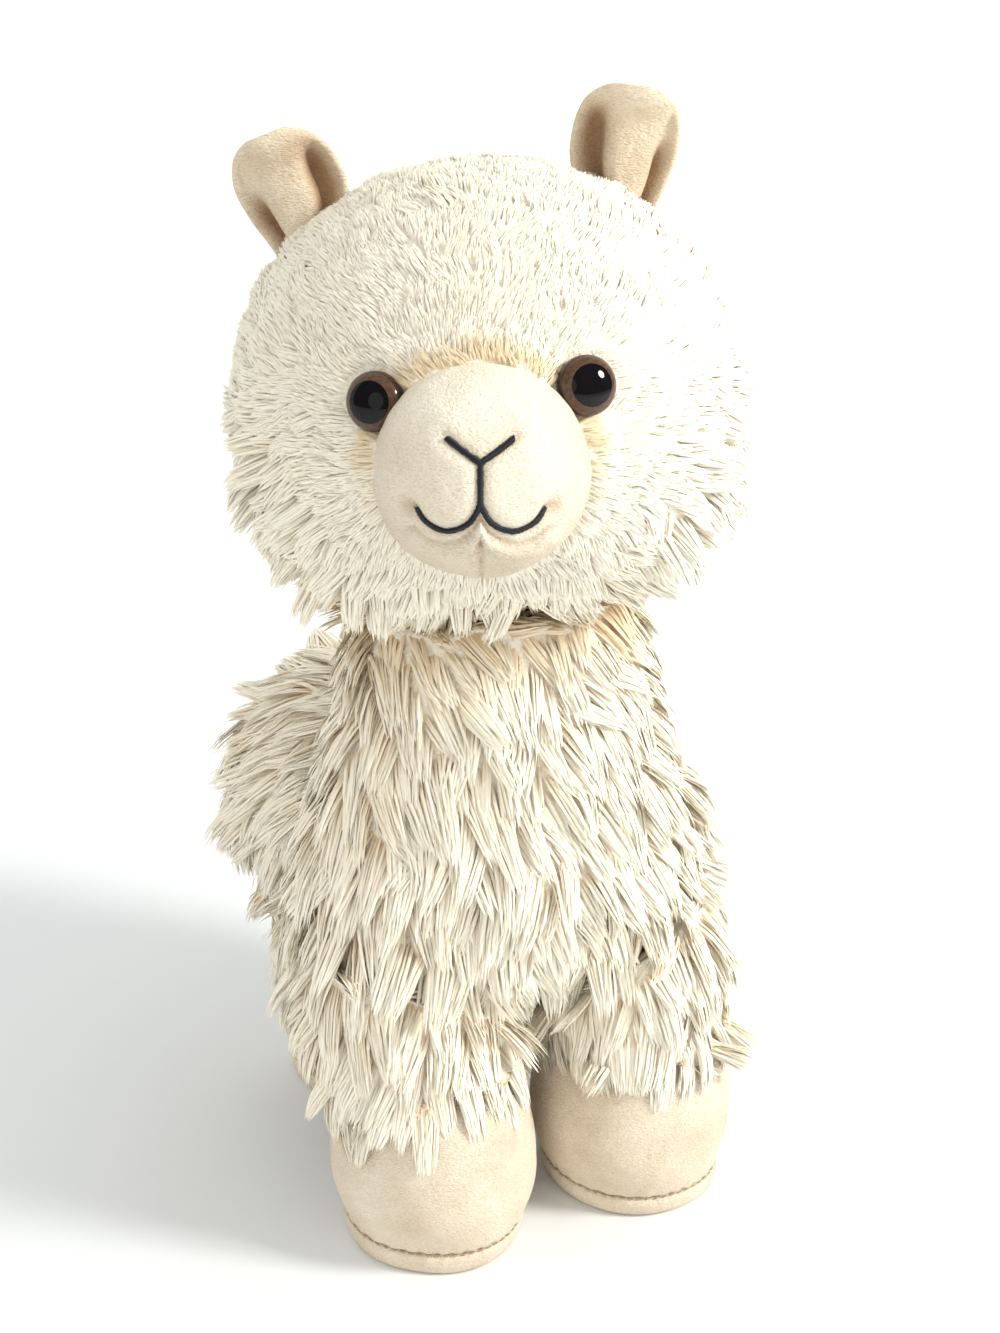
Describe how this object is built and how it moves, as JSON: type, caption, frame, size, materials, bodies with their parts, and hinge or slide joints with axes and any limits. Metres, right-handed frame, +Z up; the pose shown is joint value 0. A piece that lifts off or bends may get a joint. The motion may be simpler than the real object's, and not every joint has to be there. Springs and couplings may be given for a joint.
{
  "type": "plush toy llama",
  "caption": "Free-standing plush llama in cream long-pile fur with beige velour muzzle, ears and boots, domed safety eyes and an embroidered smile, head turned to its right.",
  "frame": {"origin": "On the floor under the middle of the toy's box, with the soles flat on the floor.", "axes": "+Z up, -Y the way the body faces, +X towards the toy's left. The head is turned about 17 degrees to the toy's right."},
  "size_m": [0.171, 0.276, 0.3913],
  "materials": {
    "long_pile_fur": "long tufted cream pile, matt",
    "beige_velour": "short-pile velour, matt",
    "pale_velour": "short-pile velour, matt",
    "eye_plastic": "polished",
    "washer_plastic": "moulded",
    "black_thread": "satin stitch"
  },
  "bodies": {
    "root": {"body": "long_pile_fur", "ear_left": "beige_velour", "ear_right": "beige_velour", "eye_left": "eye_plastic", "eye_right": "eye_plastic", "eye_washer_left": "washer_plastic", "eye_washer_right": "washer_plastic", "foot_front_left": "beige_velour", "foot_front_right": "beige_velour", "foot_hind_left": "beige_velour", "foot_hind_right": "beige_velour", "head": "long_pile_fur", "leg_front_left": "long_pile_fur", "leg_front_right": "long_pile_fur", "leg_hind_left": "long_pile_fur", "leg_hind_right": "long_pile_fur", "muzzle": "pale_velour", "nose_mouth_stitching": "black_thread", "sole_front_left": "beige_velour", "sole_front_right": "beige_velour", "sole_hind_left": "beige_velour", "sole_hind_right": "beige_velour", "tail": "long_pile_fur"}
  },
  "joints": []
}
